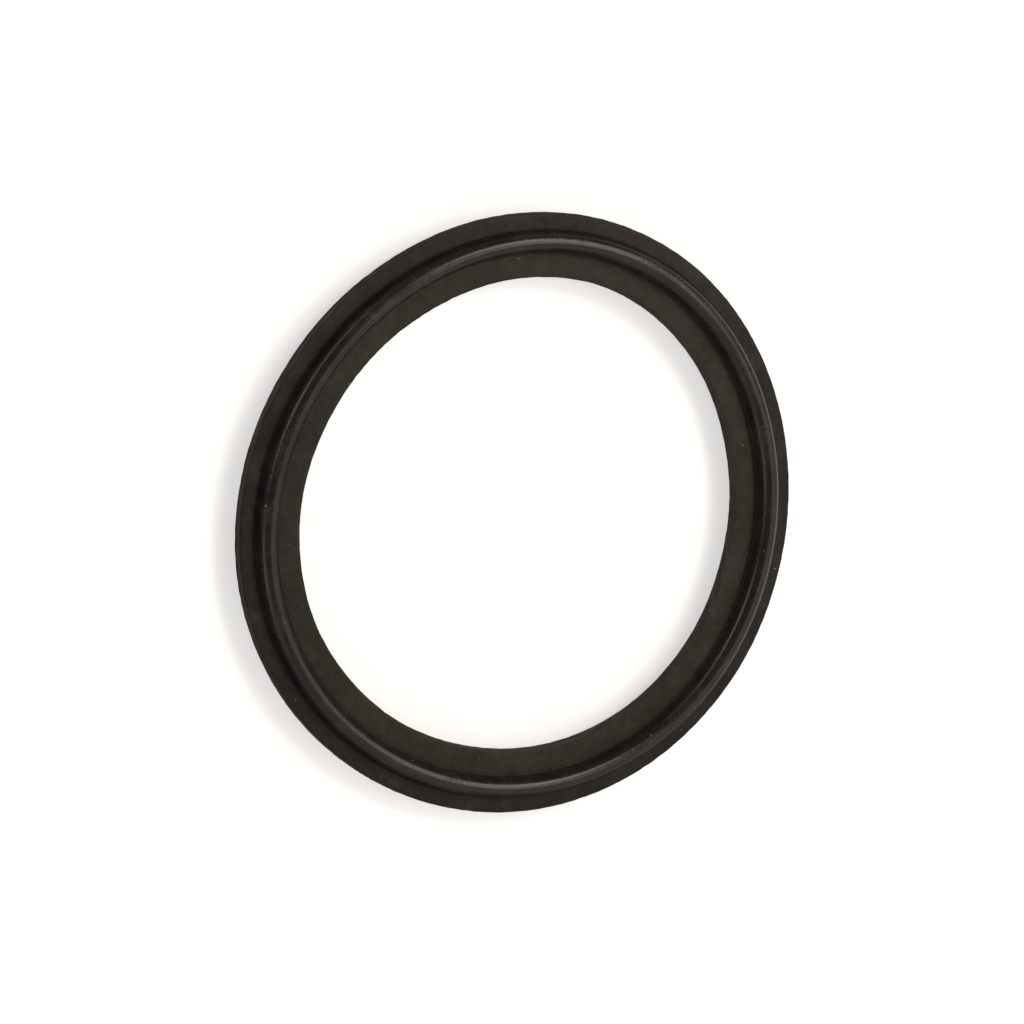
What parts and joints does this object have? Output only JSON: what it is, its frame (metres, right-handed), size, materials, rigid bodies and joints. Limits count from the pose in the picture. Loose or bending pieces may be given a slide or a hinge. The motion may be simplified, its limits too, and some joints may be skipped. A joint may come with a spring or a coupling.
{
  "type": "sanitary clamp gasket",
  "caption": "Flat rubber ring with a rounded bead on each face, sealing the joint between two clamped sanitary tube ferrules.",
  "frame": {"origin": "on the ring's axis, in the plane that the crest of the lower bead rests on", "axes": "+Z along the ring's axis, up from the surface it lies on; the ring is the same all round, so +X and +Y are any two radii"},
  "size_m": [0.0774, 0.0774, 0.0057],
  "materials": {
    "black_rubber": "matt moulded EPDM, very dark warm grey, with dull scuffs and a little dust"
  },
  "bodies": {
    "root": {"gasket_ring": "black_rubber"}
  },
  "joints": []
}
